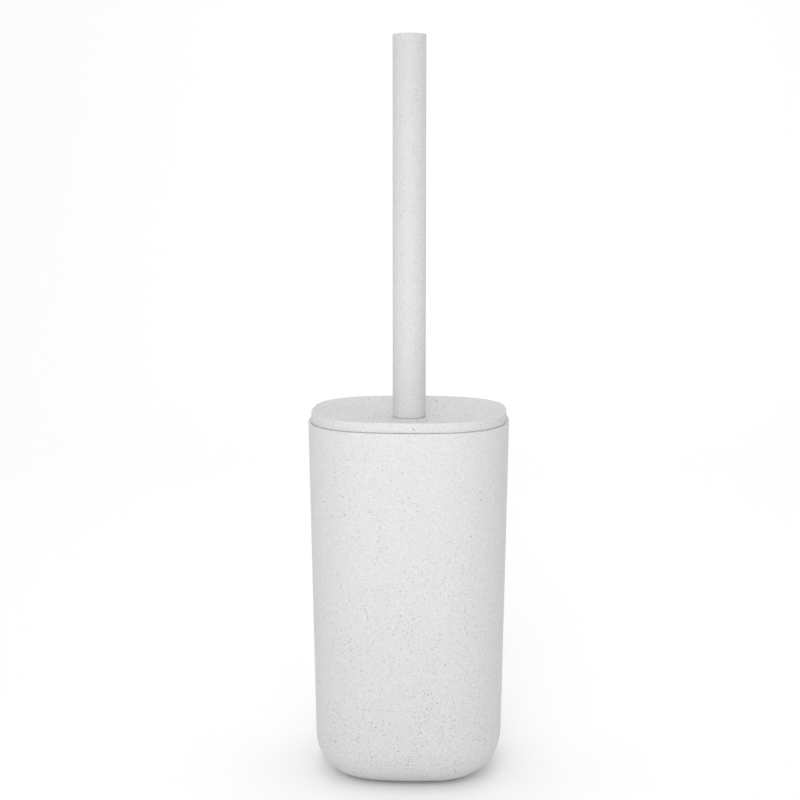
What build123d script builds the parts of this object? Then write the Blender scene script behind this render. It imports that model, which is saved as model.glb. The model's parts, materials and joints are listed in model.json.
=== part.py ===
from build123d import *
import math
import os

# A free-standing toilet brush in a soft-square cup with a dished lid.
#
# Millimetres, +Z up. The origin is the middle of the plane the foot pads rest on.
# The cup stands on its pads. The lid, handle and stem lift out of it as one assembly,
# and the brush head unscrews from the lower end of the stem.

# ---- Driving dimensions -------------------------------------------------------------
# Outline: a square with bulging sides and large round corners. Every other outline
# is a parallel curve of the rim's, so walls and gaps are even all the way round.
RIM_HALF = 50.0             # middle of a side, from the axis, at the cup's rim
SIDE_RADIUS = 120.0         # bulge of the sides at the rim
CORNER_RADIUS = 35.8        # corners at the rim

CUP_BASE_Z = 0.4            # underside of the cup, lifted by the pads
CUP_RIM_Z = 178.4
CUP_DRAFT = 1.06            # degrees that the side leans in towards the base
CUP_WALL = 2.5
CUP_FLOOR = 3.0
CUP_HEEL_RADIUS = 20.0      # round between the side and the base
RIM_LAND = 1.45             # width of the rim left showing outside the lid
RIM_EDGE = 0.5

PAD_RADIUS = 5.0
PAD_THICKNESS = 1.4
PAD_OFFSET = 17.0           # pad centres from the axis, along X and along Y
PAD_RECESS_GAP = 0.2
PAD_EDGE = 0.2

LID_SEAM = 0.25             # height of the shadow gap between the lid and the rim
LID_SEAM_DEPTH = 0.5
LID_CREST_Z = 183.3
LID_CREST_LAND = 0.9
LID_CREST_EDGE = 0.3
LID_DISH_Z = 179.4          # flat middle of the dish, where the handle stands
LID_DISH_RADIUS = 100.0     # rise of the dish from its flat middle to the crest
LID_PLATE = 2.2
LID_SKIRT_GAP = 0.5         # from the cup's wall, measured at the rim
LID_SKIRT_WALL = 1.6
LID_SKIRT_DROP = 10.0       # below the rim
LID_HUB_RADIUS = 12.0
LID_HUB_Z = 174.0
LID_RIB = 1.6
LID_RIB_Z = 171.0           # lower edge of the ribs

HANDLE_RADIUS = 8.25
HANDLE_TOP_Z = 367.4
HANDLE_WALL = 2.0
HANDLE_CAP = 3.0
HANDLE_TOP_EDGE = 0.8
HANDLE_FOOT_EDGE = 0.5

INSERT_INSET = 1.0
INSERT_LENGTH = 24.0
INSERT_FLOOR = 4.0
INSERT_GROOVE = 0.5         # depth of the glue grooves
INSERT_GROOVE_WIDTH = 1.2
INSERT_GROOVE_PLACES = (0.25, 0.5, 0.75)    # as shares of the insert's length
FIT_GAP = 0.05              # radial gap of every turned or pressed fit
HOLE_GAP = 0.2              # radial gap where a thread passes through a plain hole

WASHER_THICKNESS = 1.0
WASHER_RADIUS = 10.5
STEM_TOP_THREAD_RADIUS = 4.0
STEM_TOP_THREAD_LENGTH = 24.0
STEM_FLANGE_RADIUS = 11.0
STEM_FLANGE = 2.5
STEM_RADIUS = 5.75
STEM_COLLAR_RADIUS = 9.0
STEM_COLLAR = 3.0
STEM_COLLAR_Z = 105.0       # underside of the collar, where the head tightens
STEM_THREAD_RADIUS = 5.95
STEM_THREAD_LENGTH = 10.5
STEM_EDGE = 0.8             # rounds on the flange and collar, lead-ins on the threads
SEAL_THICKNESS = 1.2

CORE_RADIUS = 15.0
CORE_DOME_Z = 54.0          # centre of the dome that ends the core
CORE_SHOULDER_Z = 100.0
CORE_SOCKET_DEPTH = 12.0
CORE_EDGE = 2.0

TUFT_HOLE_RADIUS = 1.9
TUFT_HOLE_DEPTH = 5.0
TUFT_ROOT_RADIUS = 1.7      # inside its hole, where the tuft is packed tight
TUFT_TIP_RADIUS = 3.8       # where the bristles have spread
ANCHOR_SIZE = (1.6, 4.4, 0.3)       # along the hole, across it, and thick
ANCHOR_LIFT = 0.4                   # from the bottom of the hole

TUFTS_ROUND = 14
BRISTLE_REACH = 38.0                # tips of the straight rings, from the axis
RING_PITCH = 7.5
TOP_RING_Z = 96.0
STRAIGHT_RINGS = 6
# Rings on the dome: degrees below the horizon, tufts, and tip distance from its centre.
DOME_RINGS = ((15.0, 14, 37.6), (42.0, 10, 35.8), (64.0, 5, 33.6), (90.0, 1, 32.0))

CUT = 1.0                   # how far a cutter runs past the faces that it opens
NEAR = 0.01                 # edges this close to a height count as at it

# ---- Worked out from the above ------------------------------------------------------
LID_HALF = RIM_HALF - RIM_LAND
LID_SEAM_Z = CUP_RIM_Z + LID_SEAM
SKIRT_HALF = RIM_HALF - CUP_WALL - LID_SKIRT_GAP
SKIRT_INNER_HALF = SKIRT_HALF - LID_SKIRT_WALL
SKIRT_Z = CUP_RIM_Z - LID_SKIRT_DROP
INSERT_RADIUS = HANDLE_RADIUS - HANDLE_WALL - FIT_GAP
FLANGE_TOP_Z = LID_HUB_Z - WASHER_THICKNESS
FLANGE_Z = FLANGE_TOP_Z - STEM_FLANGE
SEAL_Z = STEM_COLLAR_Z - SEAL_THICKNESS     # underside of the seal, top of the core

BASE = (Align.CENTER, Align.CENTER, Align.MIN)


def post(radius, z_low, z_high):
    """A cylinder on the Z axis between two heights."""
    return Pos(0, 0, z_low) * Cylinder(radius, z_high - z_low, align=BASE)


def soft_square(half, z):
    """The soft-square face at height z whose sides are half from the axis."""
    inset = RIM_HALF - half
    side, corner = SIDE_RADIUS - inset, CORNER_RADIUS - inset
    side_centre = RIM_HALF - SIDE_RADIUS
    # The corner arc touches the side arc from inside, so their centres are this far apart.
    apart = SIDE_RADIUS - CORNER_RADIUS
    centre = (math.sqrt(2 * apart**2 - side_centre**2) + side_centre) / 2
    lean = math.atan2(centre, centre - side_centre)
    meet = Vector(side_centre + side * math.cos(lean), side * math.sin(lean))
    nose = centre + corner / math.sqrt(2)
    flank = ThreePointArc((meet.X, -meet.Y), (half, 0), meet)
    round_corner = ThreePointArc(meet, (nose, nose), (meet.Y, meet.X))
    edges = [Rot(0, 0, 90 * k) * edge for k in range(4) for edge in (flank, round_corner)]
    return Pos(0, 0, z) * Face(Wire(edges))


def soft_prism(half, z_low, z_high):
    """A straight-sided soft-square block between two heights."""
    return extrude(soft_square(half, z_low), z_high - z_low, dir=(0, 0, 1))


def drafted_prism(half, z_low, heel_radius):
    """A soft-square block that narrows downwards from the cup's rim, with a round heel."""
    block = extrude(soft_square(half, CUP_RIM_Z), CUP_RIM_Z - z_low, dir=(0, 0, -1), taper=CUP_DRAFT)
    return fillet(block.edges().group_by(Axis.Z)[0], heel_radius)


def dish_block(depth_below, thickness):
    """Everything above the dished surface that lies depth_below under the crest.

    The dish is the rounded heel of a much larger block. thickness moves the
    surface down and outwards, for the underside of the plate.
    """
    radius = LID_DISH_RADIUS + thickness
    run = math.sqrt(LID_DISH_RADIUS**2 - (LID_DISH_RADIUS - depth_below) ** 2)
    half = LID_HALF - LID_CREST_LAND - run + LID_DISH_RADIUS + thickness
    low = LID_CREST_Z - depth_below - thickness
    block = soft_prism(half, low, low + radius + CUT)
    return fillet(block.edges().group_by(Axis.Z)[0], radius)


def pad_places():
    """Middles of the four foot pads."""
    return [Pos(x, y, 0) for x in (-PAD_OFFSET, PAD_OFFSET) for y in (-PAD_OFFSET, PAD_OFFSET)]


def holder_cup():
    """The cup: a drafted shell with a flat rim and a recess for each foot pad."""
    outer = drafted_prism(RIM_HALF, CUP_BASE_Z, CUP_HEEL_RADIUS)
    outer = fillet(outer.edges().group_by(Axis.Z)[-1], RIM_EDGE)
    hollow = drafted_prism(RIM_HALF - CUP_WALL, CUP_BASE_Z + CUP_FLOOR, CUP_HEEL_RADIUS - CUP_WALL)
    recess = post(PAD_RADIUS + PAD_RECESS_GAP, -CUT, PAD_THICKNESS)
    return outer - hollow - [place * recess for place in pad_places()]


def foot_pad(place):
    """A thin round pad, its lower edge eased."""
    pad = post(PAD_RADIUS, 0, PAD_THICKNESS)
    return place * fillet(pad.edges().group_by(Axis.Z)[0], PAD_EDGE)


def lid():
    """The lid: a dished plate that rests on the rim, with a skirt, a hub and crossed ribs below."""
    depth = LID_CREST_Z - LID_DISH_Z
    flank = soft_prism(LID_HALF, LID_SEAM_Z, LID_CREST_Z)
    foot = soft_prism(LID_HALF - LID_SEAM_DEPTH, CUP_RIM_Z, LID_SEAM_Z + CUT)
    skirt = soft_prism(SKIRT_HALF, SKIRT_Z, CUP_RIM_Z + CUT)
    below_plate = soft_prism(SKIRT_INNER_HALF, SKIRT_Z - CUT, LID_CREST_Z) - dish_block(depth, LID_PLATE)
    hub = post(LID_HUB_RADIUS, LID_HUB_Z, LID_DISH_Z)
    rib_length = SKIRT_INNER_HALF + SKIRT_HALF
    rib = Pos(0, 0, LID_RIB_Z) * Box(rib_length, LID_RIB, LID_CREST_Z - LID_RIB_Z, align=BASE)
    ribs = rib + Rot(0, 0, 90) * rib - post(LID_HUB_RADIUS, LID_RIB_Z - CUT, LID_HUB_Z)
    shell = flank + foot + skirt - below_plate + hub + ribs - dish_block(depth, 0)
    shell -= post(STEM_TOP_THREAD_RADIUS + HOLE_GAP, LID_RIB_Z, LID_CREST_Z)
    crest = shell.edges().filter_by_position(Axis.Z, LID_CREST_Z - NEAR, LID_CREST_Z + NEAR)
    return fillet(crest, LID_CREST_EDGE)


def handle_tube():
    """The handle: a round tube, closed at the top."""
    tube = post(HANDLE_RADIUS, LID_DISH_Z, HANDLE_TOP_Z)
    tube = fillet(tube.edges().group_by(Axis.Z)[-1], HANDLE_TOP_EDGE)
    tube = fillet(tube.edges().group_by(Axis.Z)[0], HANDLE_FOOT_EDGE)
    return tube - post(HANDLE_RADIUS - HANDLE_WALL, LID_DISH_Z - CUT, HANDLE_TOP_Z - HANDLE_CAP)


def handle_insert():
    """The threaded plug glued into the handle's open end, with three glue grooves."""
    low = LID_DISH_Z + INSERT_INSET
    high = low + INSERT_LENGTH
    bore = post(STEM_TOP_THREAD_RADIUS + FIT_GAP, low - CUT, high - INSERT_FLOOR)
    insert = post(INSERT_RADIUS, low, high) - bore
    groove = post(INSERT_RADIUS + CUT, 0, INSERT_GROOVE_WIDTH)
    groove -= post(INSERT_RADIUS - INSERT_GROOVE, -CUT, INSERT_GROOVE_WIDTH + CUT)
    for share in INSERT_GROOVE_PLACES:
        insert -= Pos(0, 0, low + share * INSERT_LENGTH) * groove
    return insert


def lid_washer():
    """The soft washer between the lid's hub and the stem's flange."""
    hole = post(STEM_TOP_THREAD_RADIUS + HOLE_GAP, FLANGE_TOP_Z - CUT, LID_HUB_Z + CUT)
    return post(WASHER_RADIUS, FLANGE_TOP_Z, LID_HUB_Z) - hole


def stem():
    """The rod below the lid: upper thread, flange, rod, collar and lower thread."""
    flange = post(STEM_FLANGE_RADIUS, FLANGE_Z, FLANGE_TOP_Z)
    flange = fillet(flange.edges().group_by(Axis.Z)[0], STEM_EDGE)
    rod = post(STEM_RADIUS, STEM_COLLAR_Z, FLANGE_TOP_Z)
    collar = post(STEM_COLLAR_RADIUS, STEM_COLLAR_Z, STEM_COLLAR_Z + STEM_COLLAR)
    collar = fillet(collar.edges().group_by(Axis.Z)[-1], STEM_EDGE)
    top_thread = post(STEM_TOP_THREAD_RADIUS, FLANGE_TOP_Z, FLANGE_TOP_Z + STEM_TOP_THREAD_LENGTH)
    top_thread = chamfer(top_thread.edges().group_by(Axis.Z)[-1], STEM_EDGE)
    low_thread = post(STEM_THREAD_RADIUS, STEM_COLLAR_Z - STEM_THREAD_LENGTH, STEM_COLLAR_Z)
    low_thread = chamfer(low_thread.edges().group_by(Axis.Z)[0], STEM_EDGE)
    return flange + rod + collar + top_thread + low_thread


def head_seal_ring():
    """The soft ring between the stem's collar and the head."""
    hole = post(STEM_THREAD_RADIUS + HOLE_GAP, SEAL_Z - CUT, STEM_COLLAR_Z + CUT)
    return post(STEM_COLLAR_RADIUS, SEAL_Z, STEM_COLLAR_Z) - hole


def tuft_rings():
    """For each ring from the top down: the frames of its tufts, and how far the tips reach.

    A tuft's frame has its origin on the core's axis and its Z along the tuft.
    Every other ring is turned by half a step, so that the tufts fill each other's gaps.
    """
    rings = []
    for row in range(STRAIGHT_RINGS):
        rings.append((TOP_RING_Z - row * RING_PITCH, 0.0, TUFTS_ROUND, BRISTLE_REACH))
    for below, count, reach in DOME_RINGS:
        rings.append((CORE_DOME_Z, below, count, reach))
    framed = []
    for row, (z, below, count, reach) in enumerate(rings):
        step = 360 / count
        turn = (row % 2) * step / 2
        frames = [Pos(0, 0, z) * Rot(0, 0, turn + k * step) * Rot(0, 90 + below, 0) for k in range(count)]
        framed.append((frames, reach))
    return framed


def brush_core():
    """The domed core: a threaded socket in its neck, and one blind hole for each tuft."""
    core = post(CORE_RADIUS, CORE_DOME_Z, CORE_SHOULDER_Z) + Pos(0, 0, CORE_DOME_Z) * Sphere(CORE_RADIUS)
    core = fillet(core.edges().group_by(Axis.Z)[-1], CORE_EDGE)
    core += post(STEM_COLLAR_RADIUS, CORE_SHOULDER_Z - CORE_EDGE, SEAL_Z)
    core -= post(STEM_THREAD_RADIUS + FIT_GAP, SEAL_Z - CORE_SOCKET_DEPTH, SEAL_Z + CUT)
    drill = post(TUFT_HOLE_RADIUS, CORE_RADIUS - TUFT_HOLE_DEPTH, CORE_RADIUS + CUT)
    holes = [frame * drill for frames, _ in tuft_rings() for frame in frames]
    return core - holes


def bristle_ring(frames, reach):
    """One ring of tufts: each is straight inside its hole and spreads from there to its tips."""
    root = post(TUFT_ROOT_RADIUS, CORE_RADIUS - TUFT_HOLE_DEPTH + FIT_GAP, CORE_RADIUS)
    spread = Cone(TUFT_ROOT_RADIUS, TUFT_TIP_RADIUS, reach - CORE_RADIUS, align=BASE)
    tuft = root + Pos(0, 0, CORE_RADIUS) * spread
    return Compound([frame * tuft for frame in frames])


def tuft_anchors():
    """The flat wires that are driven across the tufts' folds and into the core."""
    along, across, thick = ANCHOR_SIZE
    low = CORE_RADIUS - TUFT_HOLE_DEPTH + ANCHOR_LIFT
    wire = Pos(0, 0, low) * Box(thick, across, along, align=BASE)
    return Compound([frame * wire for frames, _ in tuft_rings() for frame in frames])


def parts():
    """Every piece by its node name."""
    made = {
        "holder_cup": holder_cup(),
        "lid": lid(),
        "handle_tube": handle_tube(),
        "handle_insert": handle_insert(),
        "lid_washer": lid_washer(),
        "stem": stem(),
        "head_seal_ring": head_seal_ring(),
        "brush_core": brush_core(),
        "tuft_anchors": tuft_anchors(),
    }
    for number, place in enumerate(pad_places(), start=1):
        made[f"foot_pad_{number}"] = foot_pad(place)
    for number, (frames, reach) in enumerate(tuft_rings(), start=1):
        made[f"bristle_ring_{number:02d}"] = bristle_ring(frames, reach)
    return made


os.makedirs("parts", exist_ok=True)
for name, shape in parts().items():
    export_step(shape, f"parts/{name}.step")
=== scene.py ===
# %% [markdown]
# # A toilet brush in a soft-square cup
#
# The object is a tall cup with a low dished lid and a plain round handle, all moulded in an
# off-white plastic with fine mineral specks. The lid, handle and brush lift out of the cup as
# one. The brush head unscrews from the stem.
#
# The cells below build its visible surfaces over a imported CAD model, which settles every size.
# Everything is in metres, +Z is up, and the object stands on the plane z = 0.

import json
import math

import bpy
from mathutils import Matrix, Vector


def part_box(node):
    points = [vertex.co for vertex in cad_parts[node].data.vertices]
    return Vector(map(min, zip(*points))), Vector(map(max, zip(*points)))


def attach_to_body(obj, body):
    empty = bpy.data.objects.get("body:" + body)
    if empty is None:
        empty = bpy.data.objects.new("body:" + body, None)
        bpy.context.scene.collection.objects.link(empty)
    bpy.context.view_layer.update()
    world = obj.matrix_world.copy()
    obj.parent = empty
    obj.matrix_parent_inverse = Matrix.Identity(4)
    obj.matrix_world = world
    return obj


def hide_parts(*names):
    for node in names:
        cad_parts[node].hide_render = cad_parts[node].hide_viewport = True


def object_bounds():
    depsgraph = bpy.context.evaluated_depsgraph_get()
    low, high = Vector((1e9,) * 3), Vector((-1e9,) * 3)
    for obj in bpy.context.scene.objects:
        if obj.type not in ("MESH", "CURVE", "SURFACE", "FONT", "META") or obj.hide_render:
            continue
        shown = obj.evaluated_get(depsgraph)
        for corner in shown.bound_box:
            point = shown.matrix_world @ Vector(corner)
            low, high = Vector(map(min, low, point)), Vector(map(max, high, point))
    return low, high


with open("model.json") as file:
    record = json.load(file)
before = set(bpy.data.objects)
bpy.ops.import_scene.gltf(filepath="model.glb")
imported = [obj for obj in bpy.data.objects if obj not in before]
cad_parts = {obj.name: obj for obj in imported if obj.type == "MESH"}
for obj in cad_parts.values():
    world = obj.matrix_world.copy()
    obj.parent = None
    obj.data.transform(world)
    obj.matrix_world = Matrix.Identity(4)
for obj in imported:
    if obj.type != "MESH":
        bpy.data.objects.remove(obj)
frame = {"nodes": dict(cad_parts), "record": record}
cad_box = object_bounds()
print("CAD box", [[round(v, 4) for v in corner] for corner in cad_box])

# %% [markdown]
# ## Working helpers
#
# Node trees, for shapes and for finishes, are written with one small function: it adds a node,
# sets its settings, and takes each input either as a value or as another node's output.
# Colours are picked as sRGB hex values, as on a colour card, and Blender's shaders want them
# linear, so one function turns them.

# %% Helpers for colours and nodes
MM = 0.001


def linear(hex_colour):
    """An sRGB hex colour as the linear RGBA that shaders use."""
    channels = [int(hex_colour[i:i + 2], 16) / 255 for i in (1, 3, 5)]
    curved = [c / 12.92 if c <= 0.04045 else ((c + 0.055) / 1.055) ** 2.4 for c in channels]
    return (*curved, 1.0)


def add(tree, kind, inputs=None, **settings):
    """Adds one node to a tree. Each input is a value or another node's output socket."""
    made = tree.nodes.new(kind)
    for name, value in settings.items():
        setattr(made, name, value)
    for key, value in (inputs or {}).items():
        if isinstance(value, bpy.types.NodeSocket):
            tree.links.new(value, made.inputs[key])
        else:
            made.inputs[key].default_value = value
    return made


print("pale plastic as linear colour", [round(c, 3) for c in linear("#E2E2DD")])

# %% [markdown]
# ## Running a Geometry Nodes tree
#
# A tree is a recipe with named inputs for its sizes. To use it, an empty object gets the tree as
# a modifier, the inputs are set by their sockets' identifiers, and the evaluated result is saved
# as a plain mesh. The modifier goes away before the piece is attached to the frame, so what is
# left is an ordinary mesh whose object sits at the origin.
#
# Closed parts should face outwards everywhere. The sign of the enclosed volume tells whether
# they do: if it is negative, all the faces are turned round at once.

# %% Helpers for recipes
SHARP = math.radians(32)


def recipe(name, inputs):
    """An empty Geometry Nodes tree with named inputs. Gives the tree and its input node."""
    tree = bpy.data.node_groups.new(name, "GeometryNodeTree")
    tree.interface.new_socket("Geometry", in_out="OUTPUT", socket_type="NodeSocketGeometry")
    for label, socket_type in inputs.items():
        tree.interface.new_socket(label, in_out="INPUT", socket_type=socket_type)
    return tree, add(tree, "NodeGroupInput")


def finish_recipe(tree, source, shape):
    """Ends a tree: instances become real, and the material is set."""
    real = add(tree, "GeometryNodeRealizeInstances", {"Geometry": shape})
    painted = add(tree, "GeometryNodeSetMaterial",
                  {"Geometry": real.outputs["Geometry"], "Material": source.outputs["Material"]})
    add(tree, "NodeGroupOutput", {"Geometry": painted.outputs["Geometry"]})


def signed_volume(mesh):
    """The volume that a mesh encloses: negative when its faces point inwards."""
    mesh.calc_loop_triangles()
    total = 0.0
    for tri in mesh.loop_triangles:
        a, b, c = (mesh.vertices[i].co for i in tri.vertices)
        total += a.dot(b.cross(c)) / 6
    return total


def cook(tree, name, **values):
    """Runs a tree with these inputs and returns the result as a plain mesh object."""
    piece = bpy.data.objects.new(name, bpy.data.meshes.new(name))
    bpy.context.scene.collection.objects.link(piece)
    modifier = piece.modifiers.new("recipe", "NODES")
    modifier.node_group = tree
    for item in tree.interface.items_tree:
        if item.in_out == "INPUT" and item.name in values:
            modifier[item.identifier] = values[item.name]
    evaluated = piece.evaluated_get(bpy.context.evaluated_depsgraph_get())
    mesh = bpy.data.meshes.new_from_object(evaluated)
    piece.modifiers.remove(modifier)
    piece.data = mesh
    mesh.name = name
    if signed_volume(mesh) < 0:
        mesh.flip_normals()
    mesh.shade_smooth()
    mesh.set_sharp_from_angle(angle=SHARP)
    print(f"{name}: {len(mesh.vertices)} points, {signed_volume(mesh) * 1e6:.2f} cubic cm")
    return piece


# %% [markdown]
# ## The speckled plastic
#
# The cup, the lid and the handle are moulded from one plastic, such as polypropylene or a resin,
# filled with ground mineral. The filler shows as a dense fine grain with a few larger grey-olive
# specks, and it runs right through the wall. The mould was left matte, so highlights are broad.
#
# It could be painted as an image, but specks that belong to the material should not stretch or
# show a seam. So the pattern is solid: Voronoi cells fill space, some of them hold a round grain,
# and the surface cuts through whatever lies there. The cells' sizes are real millimetres.

# %% Grain sizes
FINE_GRAIN = 0.75 * MM      # the ground filler itself is finer, and is drawn coarser so that it shows
FLOW_PATCH = 18 * MM
SMALLEST_GRAIN = 0.45       # of the largest of its size
FAINTEST_GRAIN = 0.4        # of the strongest
GRAIN_EDGE = 0.06           # width of a grain's soft edge, in cells
GRAIN_SIZES = (
    # cell, grain radius, share of cells that hold a grain, colour, strength
    (0.95 * MM, 0.30 * MM, 0.36, "#9E9F99", 0.60),
    (1.10 * MM, 0.30 * MM, 0.28, "#F4F4F4", 0.40),
    (1.20 * MM, 0.32 * MM, 0.36, "#6C6D63", 0.90),
    (2.10 * MM, 0.40 * MM, 0.28, "#4C4D43", 0.92),
)


def grains(tree, place, grain_amount_and_painted_shade, below, cell, radius, share, colour, strength):
    """Lays one size of grain over the colour below it, more of it where the amount is higher; the amount
    holds filler and painted shade.
    """
    cells = add(tree, "ShaderNodeTexVoronoi", {"Vector": place, "Scale": 1 / cell})
    pick = add(tree, "ShaderNodeSeparateColor", {"Color": cells.outputs["Color"]})
    local = add(tree, "ShaderNodeMath", {0: grain_amount_and_painted_shade, 1: share}, operation="MULTIPLY")
    held = add(tree, "ShaderNodeMath", {0: pick.outputs["Red"], 1: local.outputs[0]}, operation="LESS_THAN")
    size = add(tree, "ShaderNodeMapRange",
               {"Value": pick.outputs["Green"], "To Min": SMALLEST_GRAIN * radius / cell,
                "To Max": radius / cell})
    edge = add(tree, "ShaderNodeMath", {0: size.outputs["Result"], 1: cells.outputs["Distance"]},
               operation="SUBTRACT")
    soft = add(tree, "ShaderNodeMapRange",
               {"Value": edge.outputs[0], "From Min": 0.0, "From Max": GRAIN_EDGE})
    depth = add(tree, "ShaderNodeMapRange",
                {"Value": pick.outputs["Blue"], "To Min": FAINTEST_GRAIN * strength, "To Max": strength})
    mask = add(tree, "ShaderNodeMath", {0: held.outputs[0], 1: soft.outputs["Result"]}, operation="MULTIPLY")
    factor = add(tree, "ShaderNodeMath", {0: mask.outputs[0], 1: depth.outputs["Result"]},
                 operation="MULTIPLY")
    over = add(tree, "ShaderNodeMix", {"Factor": factor.outputs[0], 6: below, 7: linear(colour)},
               data_type="RGBA")
    return over.outputs[2]


print("grain radii in mm", [round(size[1] / MM, 2) for size in GRAIN_SIZES])

# %% [markdown]
# Each moulding takes its own amount of filler, so the recipe takes how much there is at two
# heights. In the cup the grains thicken towards the base, which is painted shade that darkens the
# lower cup; the lid holds the most, and the handle the least. On the lid most of the coarser grains
# go to upward-facing surfaces and few to the walls, which is painted shade too: the dish comes out
# darker than the flank. On top of that the filler gathers in soft patches a couple of centimetres
# across, which also vary the gloss.

# %% Speckled plastic
PALE, PALER = "#B6B6B6", "#DDDDDD"
MOULD_SKIN = 0.5 * MM       # grain of the matte mould, drawn coarser than the real one
SKIN_DEPTH = 0.03 * MM


def speckled_plastic(piece, low, high, filler_and_shade_low, filler_and_shade_high, top_shade_wall_share=1.0, coarser=1.0):
    """Mineral-filled plastic, matte moulded: off-white with grey-olive grains and a soft low gloss."""
    finish = bpy.data.materials.new("speckled_moulded_plastic_" + piece)
    finish.use_nodes = True
    tree = finish.node_tree
    surface = tree.nodes["Principled BSDF"]
    place = add(tree, "ShaderNodeTexCoord").outputs["Object"]
    grain = add(tree, "ShaderNodeTexNoise", {"Vector": place, "Scale": 1 / FINE_GRAIN, "Detail": 2.0})
    colour = add(tree, "ShaderNodeMix", {"Factor": grain.outputs["Fac"], 6: linear(PALE), 7: linear(PALER)},
                 data_type="RGBA").outputs[2]
    cloud = add(tree, "ShaderNodeTexNoise", {"Vector": place, "Scale": 1 / FLOW_PATCH, "Detail": 3.0})
    patch = add(tree, "ShaderNodeMapRange", {"Value": cloud.outputs["Fac"], "From Min": 0.35,
                                             "From Max": 0.65, "To Min": 0.5, "To Max": 1.5})
    height = add(tree, "ShaderNodeSeparateXYZ", {"Vector": place}).outputs["Z"]
    # Painted shade: the grain count changes with height, and in the cup it rises towards the base, which
    # darkens the lower cup.
    filler_and_base_shade = add(tree, "ShaderNodeMapRange", {"Value": height, "From Min": low, "From Max": high,
                                              "To Min": filler_and_shade_low, "To Max": filler_and_shade_high})
    # Painted shade: upward-facing surfaces get the full amount of grain and walls only a share of it, so the
    # tops come out darker.
    normal = add(tree, "ShaderNodeTexCoord").outputs["Normal"]
    upward = add(tree, "ShaderNodeSeparateXYZ", {"Vector": normal}).outputs["Z"]
    painted_top_shade = add(tree, "ShaderNodeMapRange", {"Value": upward, "To Min": top_shade_wall_share, "To Max": 1.0})
    spread = add(tree, "ShaderNodeMath", {0: patch.outputs["Result"], 1: filler_and_base_shade.outputs["Result"]},
                 operation="MULTIPLY")
    grain_amount_and_painted_shade = add(tree, "ShaderNodeMath", {0: spread.outputs[0], 1: painted_top_shade.outputs["Result"]},
                  operation="MULTIPLY")
    for cell, radius, share, tint, strength in GRAIN_SIZES:
        colour = grains(tree, place, grain_amount_and_painted_shade.outputs[0], colour, cell * coarser, radius * coarser, share,
                        tint, strength)
    tree.links.new(colour, surface.inputs["Base Color"])
    rough = add(tree, "ShaderNodeMapRange", {"Value": cloud.outputs["Fac"], "To Min": 0.5, "To Max": 0.62})
    tree.links.new(rough.outputs["Result"], surface.inputs["Roughness"])
    skin = add(tree, "ShaderNodeTexNoise", {"Vector": place, "Scale": 1 / MOULD_SKIN, "Detail": 3.0})
    bump = add(tree, "ShaderNodeBump", {"Height": skin.outputs["Fac"], "Strength": 0.3,
                                        "Distance": SKIN_DEPTH})
    tree.links.new(bump.outputs["Normal"], surface.inputs["Normal"])
    surface.inputs["IOR"].default_value = 1.49
    return finish


# More grains low on the cup than high up: painted shade towards the base.
cup_plastic = speckled_plastic("cup", 0.0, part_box("holder_cup")[1].z, 2.6, 0.35)
# On the lid few grains reach the walls: painted shade that darkens the dish against the flank.
lid_plastic = speckled_plastic("lid", *[corner.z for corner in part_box("lid")], 2.2, 2.2,
                               top_shade_wall_share=0.15, coarser=1.9)
handle_plastic = speckled_plastic("handle", *[corner.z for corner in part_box("handle_tube")], 0.4, 0.35)
print(cup_plastic.name, "has", len(cup_plastic.node_tree.nodes), "nodes")

# %% [markdown]
# ## The finishes inside the cup
#
# The parts that are only seen when the brush is lifted are plainer: white moulded polypropylene
# for the stem and the brush's core, soft grey rubber for the washer, the seal and the foot pads,
# drawn steel for the wires that hold the tufts, and nylon filament for the bristles, which lets a
# little light through.

# %% Plain plastic, rubber, wire and filament
def plain_finish(name, dark, light, patch, rough, bump_size, bump_depth, ior=1.49, **uniform):
    """A finish that drifts between two close colours, with a fine bumpy skin."""
    finish = bpy.data.materials.new(name)
    finish.use_nodes = True
    tree = finish.node_tree
    surface = tree.nodes["Principled BSDF"]
    place = add(tree, "ShaderNodeTexCoord").outputs["Object"]
    drift = add(tree, "ShaderNodeTexNoise", {"Vector": place, "Scale": 1 / patch, "Detail": 3.0})
    colour = add(tree, "ShaderNodeMix", {"Factor": drift.outputs["Fac"], 6: linear(dark), 7: linear(light)},
                 data_type="RGBA")
    tree.links.new(colour.outputs[2], surface.inputs["Base Color"])
    worn = add(tree, "ShaderNodeMapRange", {"Value": drift.outputs["Fac"], "To Min": rough - 0.08,
                                            "To Max": rough + 0.08})
    tree.links.new(worn.outputs["Result"], surface.inputs["Roughness"])
    skin = add(tree, "ShaderNodeTexNoise", {"Vector": place, "Scale": 1 / bump_size, "Detail": 3.0})
    bump = add(tree, "ShaderNodeBump", {"Height": skin.outputs["Fac"], "Strength": 0.4,
                                        "Distance": bump_depth})
    tree.links.new(bump.outputs["Normal"], surface.inputs["Normal"])
    surface.inputs["IOR"].default_value = ior
    for socket, value in uniform.items():
        surface.inputs[socket.replace("_", " ")].default_value = value
    return finish


white_plastic = plain_finish("white_moulded_polypropylene", "#DEDEDA", "#EAEAE7", 9 * MM, 0.38,
                             0.6 * MM, 0.02 * MM)
grey_rubber = plain_finish("soft_grey_rubber", "#5F6161", "#727474", 5 * MM, 0.8, 0.35 * MM, 0.05 * MM, 1.52)
drawn_wire = plain_finish("drawn_flat_steel_wire", "#A9A7A2", "#C2C0BB", 3 * MM, 0.3, 0.4 * MM, 0.01 * MM,
                          1.5, Metallic=1.0)
filament = plain_finish("white_nylon_filament", "#E6E6E1", "#F5F5F2", 4 * MM, 0.35, 1.2 * MM, 0.01 * MM,
                        1.53, Transmission_Weight=0.2)
print("finishes", [m.name for m in (white_plastic, grey_rubber, drawn_wire, filament)])

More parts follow.
